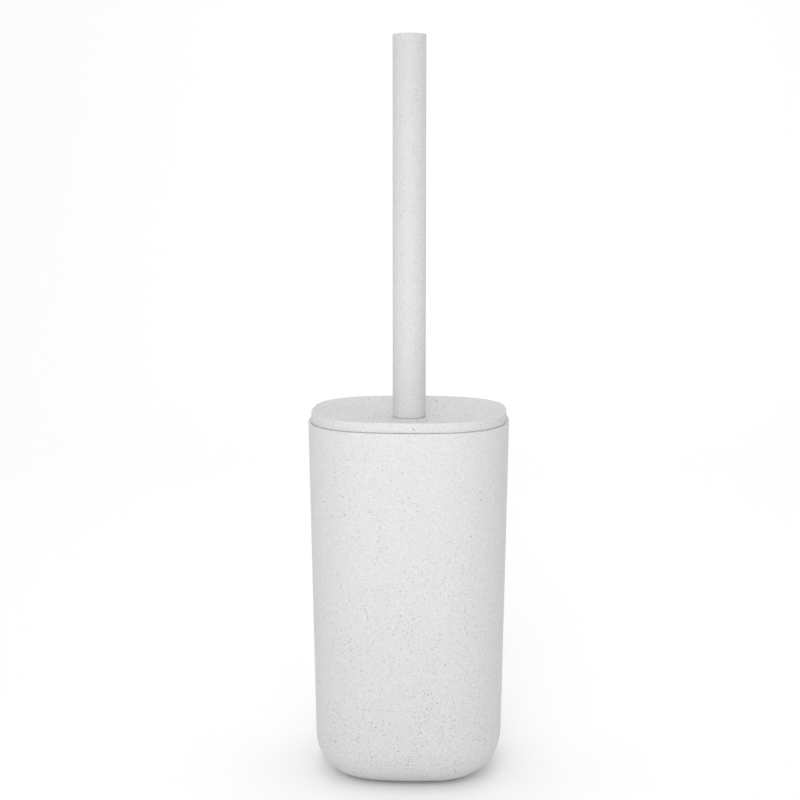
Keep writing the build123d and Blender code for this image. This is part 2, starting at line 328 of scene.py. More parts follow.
# %% [markdown]
# ## One rule for every shell
#
# Look down on the cup and its outline is a square with bulging sides and large round corners: four
# long arcs and four short ones that flow into each other. The wall, the lid's flank, the dish and
# the skirt are all the same outline moved in by some distance. So each shell is one drawing of its
# wall in section, swept round one outline.
#
# A round part is the same thing with a plain circle for its outline, so the handle and the stem
# use the same recipe. It has two steps. The first bends a circle of points into the outline: each
# point keeps its direction, and slides out to the side's arc or the corner's arc. The second sweeps
# the section along it, then closes the middle: the open edges are drawn in to the axis, or to a
# round hole whose wall joins the top to the underside.

# %% The sweep recipe
def outline_of(tree, source):
    """The soft-square outline, as points in a ring whose normals turn evenly."""
    given = source.outputs
    ring = add(tree, "GeometryNodeCurvePrimitiveCircle", {"Resolution": given["Steps"], "Radius": 1.0})
    index = add(tree, "GeometryNodeInputIndex").outputs["Index"]
    turn = add(tree, "ShaderNodeMath", {0: index, 1: given["Steps"]}, operation="DIVIDE").outputs[0]
    four = add(tree, "ShaderNodeMath", {0: turn, 1: 4.0}, operation="MULTIPLY").outputs[0]
    side = add(tree, "ShaderNodeMath", {0: four}, operation="ROUND").outputs[0]
    off = add(tree, "ShaderNodeMath", {0: four, 1: side}, operation="SUBTRACT").outputs[0]
    angle = add(tree, "ShaderNodeMath", {0: off, 1: math.pi / 2}, operation="MULTIPLY").outputs[0]
    away = add(tree, "ShaderNodeMath", {0: angle}, operation="ABSOLUTE").outputs[0]
    on_side = add(tree, "FunctionNodeCompare", {"A": away, "B": given["Meeting Angle"]},
                  data_type="FLOAT", operation="LESS_THAN").outputs["Result"]
    sign = add(tree, "ShaderNodeMath", {0: angle}, operation="SIGN").outputs[0]
    side_centre = add(tree, "ShaderNodeMath", {0: given["Half Width"], 1: given["Side Radius"]},
                      operation="SUBTRACT").outputs[0]
    corner_y = add(tree, "ShaderNodeMath", {0: given["Corner Centre"], 1: sign},
                   operation="MULTIPLY").outputs[0]
    centre_x = add(tree, "GeometryNodeSwitch", {"Switch": on_side, "False": given["Corner Centre"],
                                                "True": side_centre}, input_type="FLOAT").outputs[0]
    centre_y = add(tree, "GeometryNodeSwitch", {"Switch": on_side, "False": corner_y, "True": 0.0},
                   input_type="FLOAT").outputs[0]
    radius = add(tree, "GeometryNodeSwitch", {"Switch": on_side, "False": given["Corner Radius"],
                                              "True": given["Side Radius"]}, input_type="FLOAT").outputs[0]
    cosine = add(tree, "ShaderNodeMath", {0: angle}, operation="COSINE").outputs[0]
    sine = add(tree, "ShaderNodeMath", {0: angle}, operation="SINE").outputs[0]
    x = add(tree, "ShaderNodeMath", {0: radius, 1: cosine, 2: centre_x}, operation="MULTIPLY_ADD").outputs[0]
    y = add(tree, "ShaderNodeMath", {0: radius, 1: sine, 2: centre_y}, operation="MULTIPLY_ADD").outputs[0]
    point = add(tree, "ShaderNodeCombineXYZ", {"X": x, "Y": y}).outputs[0]
    quarter = add(tree, "ShaderNodeMath", {0: side, 1: math.pi / 2}, operation="MULTIPLY").outputs[0]
    turned = add(tree, "ShaderNodeVectorRotate", {"Vector": point, "Angle": quarter}, rotation_type="Z_AXIS")
    moved = add(tree, "GeometryNodeSetPosition", {"Geometry": ring.outputs["Curve"],
                                                  "Position": turned.outputs["Vector"]})
    return add(tree, "GeometryNodeSetCurveNormal", {"Curve": moved.outputs["Geometry"]},
               mode="Z_UP").outputs["Curve"]


def draw_in(tree, shape, radius, height=None):
    """Extends the open edges to a circle round the axis, at their own height or at one given."""
    faces = add(tree, "GeometryNodeInputMeshEdgeNeighbors").outputs["Face Count"]
    is_open = add(tree, "FunctionNodeCompare", {"A": faces, "B": 1}, data_type="INT", operation="EQUAL")
    grown = add(tree, "GeometryNodeExtrudeMesh", {"Mesh": shape, "Selection": is_open.outputs["Result"],
                                                  "Offset Scale": 0.0}, mode="EDGES")
    place = add(tree, "GeometryNodeInputPosition").outputs["Position"]
    split = add(tree, "ShaderNodeSeparateXYZ", {"Vector": place})
    flat = add(tree, "ShaderNodeCombineXYZ", {"X": split.outputs["X"], "Y": split.outputs["Y"]})
    way = add(tree, "ShaderNodeVectorMath", {0: flat.outputs[0]}, operation="NORMALIZE")
    reach = add(tree, "ShaderNodeVectorMath", {0: way.outputs[0], "Scale": radius}, operation="SCALE")
    lift = add(tree, "ShaderNodeCombineXYZ", {"Z": split.outputs["Z"] if height is None else height})
    target = add(tree, "ShaderNodeVectorMath", {0: reach.outputs[0], 1: lift.outputs[0]}, operation="ADD")
    moved = add(tree, "GeometryNodeSetPosition", {"Geometry": grown.outputs["Mesh"],
                                                  "Selection": grown.outputs["Top"],
                                                  "Position": target.outputs[0]})
    return add(tree, "GeometryNodeMergeByDistance", {"Geometry": moved.outputs["Geometry"],
                                                     "Distance": 0.001 * MM}).outputs["Geometry"]


def sweep_recipe():
    """Sweeps a wall's section round a soft-square or round outline, and closes the middle."""
    lengths = ("Half Width", "Side Radius", "Corner Radius", "Corner Centre", "Meeting Angle", "Hole Radius",
               "Hole Middle")
    tree, source = recipe("sweep_round_outline", {
        "Section": "NodeSocketObject", "Steps": "NodeSocketInt",
        **{label: "NodeSocketFloat" for label in lengths},
        "Through Hole": "NodeSocketBool", "Material": "NodeSocketMaterial"})
    section = add(tree, "GeometryNodeObjectInfo", {"Object": source.outputs["Section"]})
    swept = add(tree, "GeometryNodeCurveToMesh", {"Curve": outline_of(tree, source),
                                                  "Profile Curve": section.outputs["Geometry"]})
    closed = draw_in(tree, swept.outputs["Mesh"], source.outputs["Hole Radius"])
    pierced = draw_in(tree, closed, source.outputs["Hole Radius"], source.outputs["Hole Middle"])
    shape = add(tree, "GeometryNodeSwitch", {"Switch": source.outputs["Through Hole"], "False": closed,
                                             "True": pierced}, input_type="GEOMETRY")
    finish_recipe(tree, source, shape.outputs[0])
    return tree


sweep = sweep_recipe()
print(sweep.name, "has", len(sweep.nodes), "nodes")

# %% [markdown]
# ## Drawing a section
#
# A section is a list of points, each as its distance from the axis and its height, with arcs where
# the wall turns. The recipe wants the distance from the outline instead, so the outline's half
# width is taken off as the points go in. The heights change sign there too, because the sweep lays
# a section's second axis downwards. The same helper works out where the side and corner arcs meet,
# from their radii alone.

# %% Helpers for sections
def arc(centre, radius, start, end, steps):
    """Points along an arc in a section, from one angle to another, in degrees."""
    angles = [math.radians(start + (end - start) * k / steps) for k in range(steps + 1)]
    return [(centre[0] + radius * math.cos(a), centre[1] + radius * math.sin(a)) for a in angles]


def shell(name, section, finish, half, side=None, corner=None, steps=240, hole=0.0):
    """Sweeps a section, given as (distance from the axis, height), round the outline."""
    side = half if side is None else side
    corner = half if corner is None else corner
    curve = bpy.data.curves.new(name + "_section", "CURVE")
    curve.dimensions = "3D"
    spline = curve.splines.new("POLY")
    spline.points.add(len(section) - 1)
    for point, (distance, height) in zip(spline.points, section):
        point.co = (distance - half, -height, 0.0, 1.0)
    drawing = bpy.data.objects.new(name + "_section", curve)
    bpy.context.scene.collection.objects.link(drawing)
    centre = (math.sqrt(2 * (side - corner) ** 2 - (half - side) ** 2) + half - side) / 2
    meeting = math.atan2(centre, centre - (half - side)) if side > corner else 0.0
    values = {"Section": drawing, "Steps": steps, "Half Width": half, "Side Radius": side,
              "Corner Radius": corner, "Corner Centre": centre, "Meeting Angle": meeting,
              "Hole Radius": hole, "Hole Middle": (section[0][1] + section[-1][1]) / 2,
              "Through Hole": hole > 0, "Material": finish}
    piece = cook(sweep, name, **values)
    bpy.data.objects.remove(drawing)
    return piece


# %% [markdown]
# ## The cup
#
# The cup is a tall thin-walled moulding. Its sides lean in by about one degree towards the base,
# so that it leaves the mould. The base turns into the sides with a large round heel, inside and
# out. The rim is flat, with a softly rounded outer edge, and the lid rests on it a little way in,
# so that a narrow land is left showing all round.
#
# It could be a box with many bevels, but no bevel keeps the wall even round corners like these.
# The sweep does, because every level is the same outline moved in.

# %% Cup sizes and section
CUP_LOW, CUP_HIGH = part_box("holder_cup")
LID_LOW, LID_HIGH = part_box("lid")
RIM_HALF = 50 * MM
SIDE_RADIUS = 120 * MM
CORNER_RADIUS = 35.8 * MM
DRAFT = math.radians(1.06)
WALL = 2.5 * MM
FLOOR = 3 * MM
HEEL = 20 * MM
WALL_ROWS = 16


def cup_side(inset, height):
    """Distance of the drafted wall from the axis, moved in by an inset, at a height."""
    return RIM_HALF - inset - (CUP_HIGH.z - height) * math.tan(DRAFT)


def cup_heel(inset, base, radius):
    """The round between the wall and a flat base."""
    height = base + radius
    centre = cup_side(inset, height) - radius / math.cos(DRAFT)
    return arc((centre, height), radius, -90, -math.degrees(DRAFT), 20)


def cup_section():
    """The cup's wall, from the middle of the base, up the outside, and down the inside."""
    edge, small = 0.5 * MM, 0.15 * MM
    outer_heel = cup_heel(0.0, CUP_LOW.z, HEEL)
    inner_heel = cup_heel(WALL, CUP_LOW.z + FLOOR, HEEL - WALL)
    foot = outer_heel[-1][1]
    rise = (CUP_HIGH.z - edge - foot) / WALL_ROWS
    rows = [foot + rise * k for k in range(1, WALL_ROWS)]
    outer_wall = [(cup_side(0.0, z), z) for z in rows]
    rim_centre = cup_side(0.0, CUP_HIGH.z - edge) - edge
    rim = arc((rim_centre, CUP_HIGH.z - edge), edge, 0, 90, 6)
    lip = arc((cup_side(WALL, CUP_HIGH.z) + small, CUP_HIGH.z - small), small, 90, 180, 3)
    inner_wall = [(cup_side(WALL, z), z) for z in reversed(rows)]
    return outer_heel + outer_wall + rim + lip + inner_wall + list(reversed(inner_heel))


cup = shell("cup_shell", cup_section(), cup_plastic, RIM_HALF, SIDE_RADIUS, CORNER_RADIUS)
print("cup half width", round(max(v.co.x for v in cup.data.vertices) / MM, 3), "mm, CAD",
      round(CUP_HIGH.x / MM, 3))

# %% [markdown]
# ## The lid
#
# The lid is a shallow dish with a short upright flank that stands a few millimetres above the cup's
# rim. Its crest is a narrow rounded land, and inside it the surface falls away in one long curve to
# a flat middle, where the handle stands. Under the plate a skirt drops inside the cup and keeps the
# lid centred. The flank stops a quarter of a millimetre above the rim and only a set-back foot
# touches it. That shadow gap is the thin dark line between the two, and it hides any unevenness.
#
# The same sweep makes it. The dish is an arc of a large radius in the section, so the fall is the
# same all round, and a round hole through the middle lets the stem's thread pass to the handle.

# %% Lid sizes and section
RIM_LAND = 1.45 * MM
LID_HALF = RIM_HALF - RIM_LAND
SEAM = 0.25 * MM
SEAM_DEPTH = 0.5 * MM
HANDLE_LOW, HANDLE_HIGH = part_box("handle_tube")
DISH = HANDLE_LOW.z
DISH_RADIUS = 100 * MM
PLATE = 2.2 * MM
CREST_LAND = 0.9 * MM
SKIRT_GAP = 0.5 * MM
SKIRT_WALL = 1.6 * MM
SKIRT_HALF = RIM_HALF - WALL - SKIRT_GAP
SKIRT_INNER = SKIRT_HALF - SKIRT_WALL
STEM_HOLE = 4.2 * MM


def lid_section():
    """The lid's wall, from its hole, out over the dish and crest, and back under the plate."""
    edge, small, bevel = 0.3 * MM, 0.2 * MM, 0.06 * MM
    depth = LID_HIGH.z - DISH
    run = math.sqrt(DISH_RADIUS ** 2 - (DISH_RADIUS - depth) ** 2)
    rise = math.degrees(math.asin(run / DISH_RADIUS))
    flat = LID_HALF - CREST_LAND - run
    centre = (flat, DISH + DISH_RADIUS)
    # The dish stops a little short of the crest, where a small round takes over.
    short, set_back = 0.6, 0.13 * MM
    dish = arc(centre, DISH_RADIUS, -90, rise - 90 - short, 24)
    inner_crest = arc((LID_HALF - CREST_LAND + set_back, LID_HIGH.z - edge), edge, 120, 90, 4)
    outer_crest = arc((LID_HALF - edge, LID_HIGH.z - edge), edge, 90, 0, 5)
    foot, seam_top, rim = LID_HALF - SEAM_DEPTH, CUP_HIGH.z + SEAM, CUP_HIGH.z
    step = [(LID_HALF, seam_top + bevel), (LID_HALF - bevel, seam_top), (foot, seam_top)]
    step += [(foot, rim), (SKIRT_HALF, rim)]
    toe = arc((SKIRT_HALF - small, LID_LOW.z + small), small, 0, -90, 3)
    heel = arc((SKIRT_INNER + small, LID_LOW.z + small), small, -90, -180, 3)
    under = math.degrees(math.asin((SKIRT_INNER - flat) / (DISH_RADIUS + PLATE)))
    plate = arc(centre, DISH_RADIUS + PLATE, under - 90, -90, 12)
    return dish + inner_crest + outer_crest + step + toe + heel + plate


lid = shell("lid_shell", lid_section(), lid_plastic, RIM_HALF, SIDE_RADIUS, CORNER_RADIUS, hole=STEM_HOLE)
print("lid half width", round(max(v.co.x for v in lid.data.vertices) / MM, 3), "mm, CAD",
      round(LID_HIGH.x / MM, 3))

# %% [markdown]
# Under the plate the lid has a round hub, which the stem's flange is clamped against, and two
# crossed ribs that stiffen it. They are only seen with the lid in the hand. The hub is a turned
# shape, and each rib is a thin plate with a little draft.

# %% Lid hub and ribs
HUB_RADIUS = 12 * MM
HUB_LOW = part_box("lid_washer")[1].z
HUB_TOP = DISH - 0.5 * PLATE
RIB = 1.6 * MM
RIB_LOW = 171 * MM
OVERLAP = 0.5 * MM          # how far a rib runs into the hub and into the skirt


def lid_hub():
    """The hub under the plate, a short tube with softened edges."""
    edge = 0.4 * MM
    section = [(HUB_RADIUS, HUB_TOP)]
    section += arc((HUB_RADIUS - edge, HUB_LOW + edge), edge, 0, -90, 4)
    section += arc((STEM_HOLE + edge, HUB_LOW + edge), edge, -90, -180, 4)
    return shell("lid_hub", section, lid_plastic, HUB_RADIUS, steps=96, hole=STEM_HOLE)


def lid_rib(name, across):
    """One of the four ribs between the hub and the skirt, thinner at its lower edge."""
    inner, outer = HUB_RADIUS - OVERLAP, SKIRT_INNER + OVERLAP
    corners = []
    for height, half in ((RIB_LOW, 0.42 * RIB), (HUB_TOP, 0.5 * RIB)):
        corners += [(inner, -half, height), (outer, -half, height)]
        corners += [(outer, half, height), (inner, half, height)]
    faces = [(0, 3, 2, 1), (4, 5, 6, 7), (0, 1, 5, 4), (1, 2, 6, 5), (2, 3, 7, 6), (3, 0, 4, 7)]
    mesh = bpy.data.meshes.new(name)
    mesh.from_pydata(corners, [], faces)
    mesh.transform(Matrix.Rotation(across, 4, "Z"))
    mesh.materials.append(lid_plastic)
    piece = bpy.data.objects.new(name, mesh)
    bpy.context.scene.collection.objects.link(piece)
    softened = piece.modifiers.new("soft_edges", "BEVEL")
    softened.width = 0.25 * MM
    softened.segments = 2
    return piece


hub = lid_hub()
ribs = [lid_rib(f"lid_rib_{k + 1}", math.radians(90 * k)) for k in range(4)]
print("hub", hub.name, "ribs", len(ribs))

# %% [markdown]
# ## The handle
#
# The handle is a plain round tube, closed at the top, with its edges just softened. Its foot stands
# on the flat middle of the dish. In section it is a thick-walled tube with a cap, so it is swept
# like the cup, round a circle.

# %% Handle
HANDLE_RADIUS = HANDLE_HIGH.x
HANDLE_WALL = 2 * MM
HANDLE_CAP = 3 * MM
HANDLE_BORE = HANDLE_RADIUS - HANDLE_WALL


def handle_section():
    """The handle's wall, from the middle of its top, down the outside, and up the bore."""
    top_edge, foot_edge = 0.8 * MM, 0.5 * MM
    cap_low = HANDLE_HIGH.z - HANDLE_CAP
    top = arc((HANDLE_RADIUS - top_edge, HANDLE_HIGH.z - top_edge), top_edge, 90, 0, 6)
    foot = arc((HANDLE_RADIUS - foot_edge, HANDLE_LOW.z + foot_edge), foot_edge, 0, -90, 5)
    return top + foot + [(HANDLE_BORE, HANDLE_LOW.z), (HANDLE_BORE, cap_low)]


handle = shell("handle_grip", handle_section(), handle_plastic, HANDLE_RADIUS, steps=128)

# %% [markdown]
# ## The stem
#
# Below the lid a moulded rod carries the brush head. It has a flange that clamps the lid, a plain
# shank, a collar that the head tightens against, and a coarse thread below the collar. The thread
# is a real helix here: a ridge with sloping flanks, swept along a spiral, that sinks slightly into
# its core. It starts and ends inside the core, so no cut end shows.

# %% Stem
STEM_LOW, STEM_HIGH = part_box("stem")
SEAL_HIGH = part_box("head_seal_ring")[1]
COLLAR_LOW = SEAL_HIGH.z
COLLAR_TOP = COLLAR_LOW + 3 * MM
COLLAR_RADIUS = SEAL_HIGH.x
SHANK_RADIUS = 5.75 * MM
FLANGE_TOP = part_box("lid_washer")[0].z
FLANGE_LOW = FLANGE_TOP - 2.5 * MM
FLANGE_RADIUS = STEM_HIGH.x
THREAD_RADIUS = 5.95 * MM
TOP_THREAD_RADIUS = 4 * MM
PITCH = 2 * MM
THREAD_DEPTH = 0.9 * MM
THREAD_SINK = 0.3 * MM      # how far the ridge sinks into its core
THREAD_START = 1.4 * MM     # above the stem's end
THREAD_STOP = 1.0 * MM      # below the collar


def stem_section():
    """The stem from its top end down to its lower end."""
    edge = 0.8 * MM
    core = THREAD_RADIUS - THREAD_DEPTH
    section = [(TOP_THREAD_RADIUS - edge, STEM_HIGH.z), (TOP_THREAD_RADIUS, STEM_HIGH.z - edge)]
    section += [(TOP_THREAD_RADIUS, FLANGE_TOP), (FLANGE_RADIUS, FLANGE_TOP)]
    section += arc((FLANGE_RADIUS - edge, FLANGE_LOW + edge), edge, 0, -90, 5)
    section += [(SHANK_RADIUS, FLANGE_LOW), (SHANK_RADIUS, COLLAR_TOP)]
    section += arc((COLLAR_RADIUS - edge, COLLAR_TOP - edge), edge, 90, 0, 5)
    section += [(COLLAR_RADIUS, COLLAR_LOW), (core, COLLAR_LOW), (core, STEM_LOW.z + edge)]
    section.append((core - edge, STEM_LOW.z))
    return section


def thread_recipe():
    """A ridge swept along a helix, with its two ends closed."""
    tree, source = recipe("screw_thread", {
        "Ridge": "NodeSocketObject", "Steps": "NodeSocketInt", "Turns": "NodeSocketFloat",
        "Radius": "NodeSocketFloat", "Length": "NodeSocketFloat", "Base": "NodeSocketFloat",
        "Material": "NodeSocketMaterial"})
    helix = add(tree, "GeometryNodeCurveSpiral", {
        "Resolution": source.outputs["Steps"], "Rotations": source.outputs["Turns"],
        "Start Radius": source.outputs["Radius"], "End Radius": source.outputs["Radius"],
        "Height": source.outputs["Length"], "Reverse": True})
    lifted = add(tree, "GeometryNodeSetPosition", {
        "Geometry": helix.outputs["Curve"],
        "Offset": add(tree, "ShaderNodeCombineXYZ", {"Z": source.outputs["Base"]}).outputs[0]})
    level = add(tree, "GeometryNodeSetCurveNormal", {"Curve": lifted.outputs["Geometry"]}, mode="Z_UP")
    ridge = add(tree, "GeometryNodeObjectInfo", {"Object": source.outputs["Ridge"]})
    swept = add(tree, "GeometryNodeCurveToMesh", {"Curve": level.outputs["Curve"],
                                                  "Profile Curve": ridge.outputs["Geometry"],
                                                  "Fill Caps": True})
    finish_recipe(tree, source, swept.outputs["Mesh"])
    return tree


def stem_thread():
    """The lower thread's ridge, from just above the stem's end to just below the collar."""
    root, tip = 0.42 * PITCH, 0.1 * PITCH
    core = THREAD_RADIUS - THREAD_DEPTH
    curve = bpy.data.curves.new("thread_ridge", "CURVE")
    curve.dimensions = "3D"
    spline = curve.splines.new("POLY")
    spline.points.add(3)
    outline = [(-THREAD_SINK, -root), (THREAD_DEPTH, -tip), (THREAD_DEPTH, tip), (-THREAD_SINK, root)]
    for point, (x, y) in zip(spline.points, outline):
        point.co = (x, y, 0.0, 1.0)
    spline.use_cyclic_u = True
    drawing = bpy.data.objects.new("thread_ridge", curve)
    bpy.context.scene.collection.objects.link(drawing)
    length = COLLAR_LOW - STEM_LOW.z - THREAD_START - THREAD_STOP
    piece = cook(thread_recipe(), "stem_thread", Ridge=drawing, Steps=240, Turns=length / PITCH,
                 Radius=core, Length=length, Base=STEM_LOW.z + THREAD_START, Material=white_plastic)
    bpy.data.objects.remove(drawing)
    return piece


stem = shell("stem_rod", stem_section(), white_plastic, STEM_HIGH.x, steps=96)
thread = stem_thread()

# %% [markdown]
# ## The bristles
#
# Each tuft is a bundle of nylon filaments, folded over a flat wire and driven into a blind hole in
# the core. Inside the hole the bundle is tight, and from there it fans out to a trimmed tip. The
# tufts stand in rings, and every other ring is turned by half a step.
#
# Hair particles could do this, but they don't export. So a recipe places one short bent filament
# for every bristle: its index says which tuft it belongs to, two random numbers say where it stands
# in the bundle, and the same numbers, scaled up, say where its tip goes. There are thousands, so a
# filament is only a few faces, and it is drawn thicker than a real one, with fewer to a tuft.

# %% The bristle recipe
CORE_LOW, CORE_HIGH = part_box("brush_core")
CORE_RADIUS = CORE_HIGH.x
FILAMENT_RADIUS = 0.24 * MM
FILAMENTS = 64
BUNDLE_RADIUS = 1.5 * MM
FAN_RADIUS = 4.5 * MM
FAN_RANGE = (0.85, 1.08)                # how far a filament strays from the even fan
TRIM_RANGE = (-0.9 * MM, 0.1 * MM)      # how far its tip ends from the trimmed line
BOW = 0.8 * MM


def bent_filament(tree):
    """One bristle of unit length along Z, bowed to one side and thinner at its tip."""
    line = add(tree, "GeometryNodeCurveQuadraticBezier", {
        "Resolution": 4, "Start": (0.0, 0.0, 0.0), "Middle": (BOW, 0.0, 0.5), "End": (0.0, 0.0, 1.0)})
    ring = add(tree, "GeometryNodeCurvePrimitiveCircle", {"Resolution": 4, "Radius": FILAMENT_RADIUS})
    return add(tree, "GeometryNodeCurveToMesh", {"Curve": line.outputs["Curve"],
                                                 "Profile Curve": ring.outputs["Curve"],
                                                 "Fill Caps": True}).outputs["Mesh"]


def bristle_recipe():
    """One ring of tufts, filament by filament."""
    tree, source = recipe("bristle_ring", {
        "Tufts": "NodeSocketInt", "Filaments": "NodeSocketInt", "Height": "NodeSocketFloat",
        "Below": "NodeSocketFloat", "Turn": "NodeSocketFloat", "Root": "NodeSocketFloat",
        "Reach": "NodeSocketFloat", "Bundle Radius": "NodeSocketFloat", "Fan": "NodeSocketFloat",
        "Seed": "NodeSocketInt", "Material": "NodeSocketMaterial"})
    give = source.outputs
    total = add(tree, "ShaderNodeMath", {0: give["Tufts"], 1: give["Filaments"]},
                operation="MULTIPLY").outputs[0]
    spots = add(tree, "GeometryNodeMeshLine", {"Count": total, "Offset": (0.0, 0.0, 0.0)}).outputs["Mesh"]
    index = add(tree, "GeometryNodeInputIndex").outputs["Index"]
    share = add(tree, "ShaderNodeMath", {0: index, 1: give["Filaments"]}, operation="DIVIDE").outputs[0]
    tuft = add(tree, "ShaderNodeMath", {0: share}, operation="FLOOR").outputs[0]
    step = add(tree, "ShaderNodeMath", {0: 2 * math.pi, 1: give["Tufts"]}, operation="DIVIDE").outputs[0]
    round_axis = add(tree, "ShaderNodeMath", {0: tuft, 1: step, 2: give["Turn"]},
                     operation="MULTIPLY_ADD").outputs[0]
    tilt = add(tree, "ShaderNodeMath", {0: give["Below"], 1: math.pi / 2}, operation="ADD").outputs[0]
    facing = add(tree, "ShaderNodeCombineXYZ", {"Y": tilt, "Z": round_axis}).outputs[0]

    def chance(offset, low, high):
        """A random number for each filament."""
        seed = add(tree, "ShaderNodeMath", {0: give["Seed"], 1: float(offset)}, operation="ADD").outputs[0]
        return add(tree, "FunctionNodeRandomValue", {2: low, 3: high, "Seed": seed},
                   data_type="FLOAT").outputs[1]

    spread = add(tree, "ShaderNodeMath", {0: chance(1, 0.0, 1.0)}, operation="SQRT").outputs[0]
    way = chance(2, 0.0, 2 * math.pi)
    across = add(tree, "ShaderNodeMath", {0: way}, operation="COSINE").outputs[0]
    along = add(tree, "ShaderNodeMath", {0: way}, operation="SINE").outputs[0]
    unit = add(tree, "ShaderNodeCombineXYZ", {"X": across, "Y": along}).outputs[0]
    disc = add(tree, "ShaderNodeVectorMath", {0: unit, "Scale": spread}, operation="SCALE").outputs[0]
    stray = add(tree, "ShaderNodeMath", {0: give["Fan"], 1: chance(3, *FAN_RANGE)},
                operation="MULTIPLY").outputs[0]
    foot_xy = add(tree, "ShaderNodeVectorMath", {0: disc, "Scale": give["Bundle Radius"]}, operation="SCALE")
    foot_z = add(tree, "ShaderNodeCombineXYZ", {"Z": give["Root"]}).outputs[0]
    foot = add(tree, "ShaderNodeVectorMath", {0: foot_xy.outputs[0], 1: foot_z}, operation="ADD").outputs[0]
    trimmed = add(tree, "ShaderNodeMath", {0: give["Reach"], 1: chance(4, *TRIM_RANGE)},
                  operation="ADD").outputs[0]
    tip_xy = add(tree, "ShaderNodeVectorMath", {0: disc, "Scale": stray}, operation="SCALE")
    tip_z = add(tree, "ShaderNodeCombineXYZ", {"Z": trimmed}).outputs[0]
    tip = add(tree, "ShaderNodeVectorMath", {0: tip_xy.outputs[0], 1: tip_z}, operation="ADD").outputs[0]
    lean = add(tree, "ShaderNodeVectorMath", {0: tip, 1: foot}, operation="SUBTRACT").outputs[0]
    length = add(tree, "ShaderNodeVectorMath", {0: lean}, operation="LENGTH").outputs["Value"]
    standing = add(tree, "ShaderNodeVectorRotate", {"Vector": foot, "Rotation": facing},
                   rotation_type="EULER_XYZ").outputs["Vector"]
    lifted = add(tree, "ShaderNodeVectorMath",
                 {0: standing, 1: add(tree, "ShaderNodeCombineXYZ", {"Z": give["Height"]}).outputs[0]},
                 operation="ADD").outputs[0]
    placed = add(tree, "GeometryNodeSetPosition",
                 {"Geometry": spots, "Position": lifted}).outputs["Geometry"]
    pointing = add(tree, "ShaderNodeVectorRotate", {"Vector": lean, "Rotation": facing},
                   rotation_type="EULER_XYZ").outputs["Vector"]
    aimed = add(tree, "FunctionNodeAlignRotationToVector", {"Vector": pointing},
                axis="Z").outputs["Rotation"]
    spin = add(tree, "FunctionNodeAxisAngleToRotation", {"Axis": (0.0, 0.0, 1.0),
                                                         "Angle": chance(5, 0.0, 2 * math.pi)})
    rolled = add(tree, "FunctionNodeRotateRotation", {"Rotation": aimed, "Rotate By": spin.outputs[0]},
                 rotation_space="LOCAL").outputs[0]
    size = add(tree, "ShaderNodeCombineXYZ", {"X": 1.0, "Y": 1.0, "Z": length}).outputs[0]
    grown = add(tree, "GeometryNodeInstanceOnPoints", {
        "Points": placed, "Instance": bent_filament(tree), "Rotation": rolled, "Scale": size})
    finish_recipe(tree, source, grown.outputs["Instances"])
    return tree


bristles_of = bristle_recipe()
print(bristles_of.name, "has", len(bristles_of.nodes), "nodes")

# %% [markdown]
# The rings follow two rules. Down the straight part of the core they are evenly spaced and stand
# straight out. Round the dome they point further and further down, with fewer tufts to a ring, so
# that the bristles cover the end.

# %% The rings of bristles
DOME = CORE_LOW.z + CORE_RADIUS
TUFTS_ROUND = 14
TOP_RING = 96 * MM
RING_PITCH = 7.5 * MM
STRAIGHT_RINGS = 6
STRAIGHT_REACH = 38 * MM
ROOT_DEPTH = 2 * MM
DOME_RINGS = (
    # degrees below level, tufts, reach of the tips from the dome's centre
    (15, 14, 37.6 * MM),
    (42, 10, 35.8 * MM),
    (64, 5, 33.6 * MM),
    (90, 1, 32 * MM),
)


def bristle_rings():
    """Every ring, from the top down, as one piece each."""
    plan = [(TOP_RING - row * RING_PITCH, 0, TUFTS_ROUND, STRAIGHT_REACH) for row in range(STRAIGHT_RINGS)]
    plan += [(DOME, below, tufts, reach) for below, tufts, reach in DOME_RINGS]
    made = []
    for row, (height, below, tufts, reach) in enumerate(plan):
        half_step = math.pi / tufts if row % 2 else 0.0
        made.append(cook(
            bristles_of, f"bristles_{row + 1:02d}", Tufts=tufts, Filaments=FILAMENTS, Height=height,
            Below=math.radians(below), Turn=half_step, Root=CORE_RADIUS - ROOT_DEPTH, Reach=reach,
            **{"Bundle Radius": BUNDLE_RADIUS, "Fan": FAN_RADIUS, "Seed": 100 * row, "Material": filament}))
    return made


rings = bristle_rings()
print("rings", len(rings))

# %% [markdown]
# ## The small parts
#
# The remaining parts are already right in the CAD model: the core with its drilled holes, the
# threaded insert, the washer, the seal, the foot pads and the wires. Those whose surface can be
# seen get a copy that is welded, because a CAD mesh is loose triangles, and shaded smooth up to its
# real edges.

# %% Small parts from the CAD
def welded_copy(node, name, finish):
    """A copy of a CAD node with its triangles joined and its curves shaded smooth."""
    mesh = frame["nodes"][node].data.copy()
    mesh.name = name
    piece = bpy.data.objects.new(name, mesh)
    bpy.context.scene.collection.objects.link(piece)
    weld = piece.modifiers.new("weld", "WELD")
    weld.merge_threshold = 0.0005 * MM
    evaluated = piece.evaluated_get(bpy.context.evaluated_depsgraph_get())
    piece.data = bpy.data.meshes.new_from_object(evaluated)
    piece.modifiers.remove(weld)
    piece.data.materials.clear()
    piece.data.materials.append(finish)
    piece.data.shade_smooth()
    piece.data.set_sharp_from_angle(angle=SHARP)
    print(name, len(piece.data.vertices), "points")
    return piece


